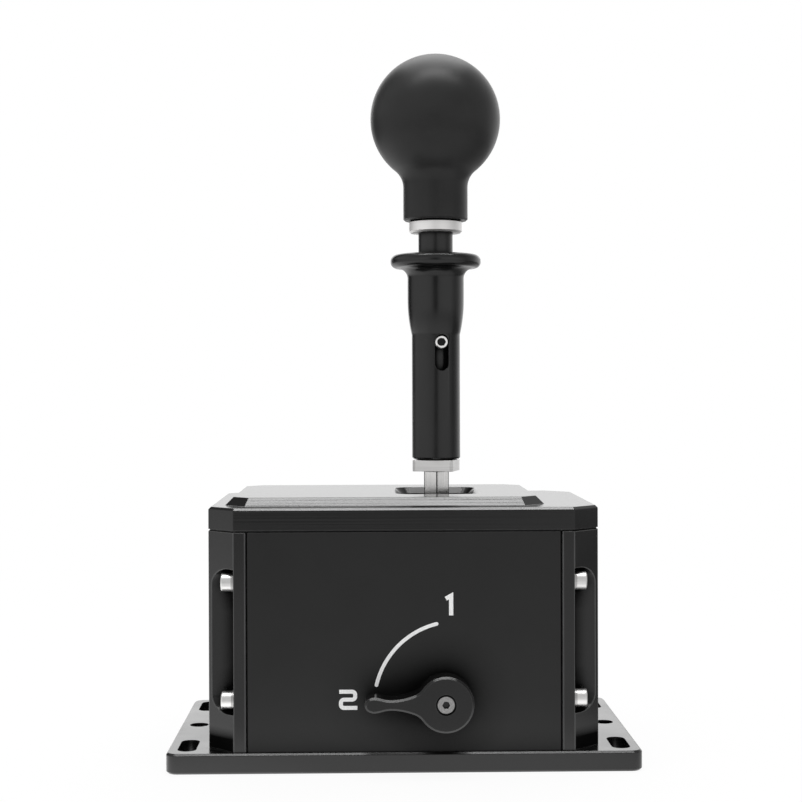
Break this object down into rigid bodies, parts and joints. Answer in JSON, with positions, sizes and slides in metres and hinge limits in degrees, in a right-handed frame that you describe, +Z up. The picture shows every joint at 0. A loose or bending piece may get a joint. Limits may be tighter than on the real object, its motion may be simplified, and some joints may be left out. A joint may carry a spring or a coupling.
{
  "type": "gear shifter",
  "caption": "Box-shaped simulator gear shifter: slotted base plate, bevelled lid, sprung tilting lever with lift collar and ball knob, and a small turning selector on its front panel.",
  "frame": {"origin": "centre of the base plate's underside, midway between its two round mounting holes", "axes": "+Z up along the lever, +X to the right as the driver sees it, +Y to the back, away from the selector"},
  "size_m": [0.18, 0.1185, 0.2804],
  "materials": {
    "plate_black": "fine satin black anodised plate",
    "turned_black": "turned, satin black anodised",
    "selector_black": "milled, matt black anodised",
    "knob_black": "smooth satin black",
    "bright_steel": "drawn and turned bright steel",
    "screw_steel": "zinc-plated screw steel",
    "raw_aluminium": "milled",
    "bronze": "turned bearing bronze",
    "board_green": "solder mask",
    "switch_plastic": "moulded"
  },
  "bodies": {
    "chassis": {"base_plate": "plate_black", "left_side_plate": "plate_black", "right_side_plate": "plate_black", "front_panel": "plate_black", "rear_panel": "plate_black", "lid": "plate_black", "side_screws": "screw_steel", "spring_washers": "screw_steel", "tie_bolts": "screw_steel", "left_bracket": "raw_aluminium", "right_bracket": "raw_aluminium", "bracket_screws": "screw_steel", "pivot_bushes": "bronze", "gate_block": "raw_aluminium", "gate_screws": "screw_steel", "main_board": "board_green", "board_standoffs": "bronze", "board_screws": "screw_steel", "usb_socket": "bright_steel", "shift_sensor": "board_green", "sensor_posts": "bronze", "selector_bush": "plate_black", "mode_switch": "switch_plastic", "switch_screws": "screw_steel", "wave_washer": "bright_steel"},
    "yoke": {"yoke": "raw_aluminium", "return_spring": "bright_steel", "shift_magnet": "bright_steel", "select_sensor": "board_green", "yoke_posts": "bronze"},
    "lever": {"lever_hub": "raw_aluminium", "select_axle": "bright_steel", "select_magnet": "bright_steel", "lever_rod": "bright_steel", "lower_lock_nut": "bright_steel", "lever_tube": "turned_black", "spring_clip": "bright_steel", "guide_screw": "screw_steel", "upper_lock_ring": "bright_steel", "knob_insert": "bronze", "knob": "knob_black", "gate_finger": "raw_aluminium", "finger_spring": "bright_steel", "finger_tip": "bright_steel", "collar_spring": "bright_steel"},
    "collar": {"collar": "turned_black", "collar_bush": "bronze", "lockout_rod": "bright_steel", "lockout_pins": "bright_steel"},
    "selector": {"selector_lever": "selector_black", "selector_screw": "screw_steel", "selector_shaft": "bright_steel", "selector_cam": "raw_aluminium"}
  },
  "joints": [
    {"name": "shift_pivot", "type": "hinge", "parent": "chassis", "child": "yoke", "pos_m": [0.0143, 0, 0.0604], "axis": [1, 0, 0], "range_deg": [-12, 12], "stiffness_Nm_per_rad": 12},
    {"name": "select_pivot", "type": "hinge", "parent": "yoke", "child": "lever", "pos_m": [0.0143, 0, 0.0604], "axis": [0, 1, 0], "range_deg": [-11, 11], "stiffness_Nm_per_rad": 8},
    {"name": "collar_lift", "type": "slide", "parent": "lever", "child": "collar", "axis": [0, 0, 1], "range_m": [0, 0.0085], "stiffness_N_per_m": 500, "springref_m": -0.01, "deforming": ["collar_spring"]},
    {"name": "selector_turn", "type": "hinge", "parent": "chassis", "child": "selector", "pos_m": [0.015, -0.0515, 0.0279], "axis": [0, 1, 0], "range_deg": [0, 90]}
  ]
}
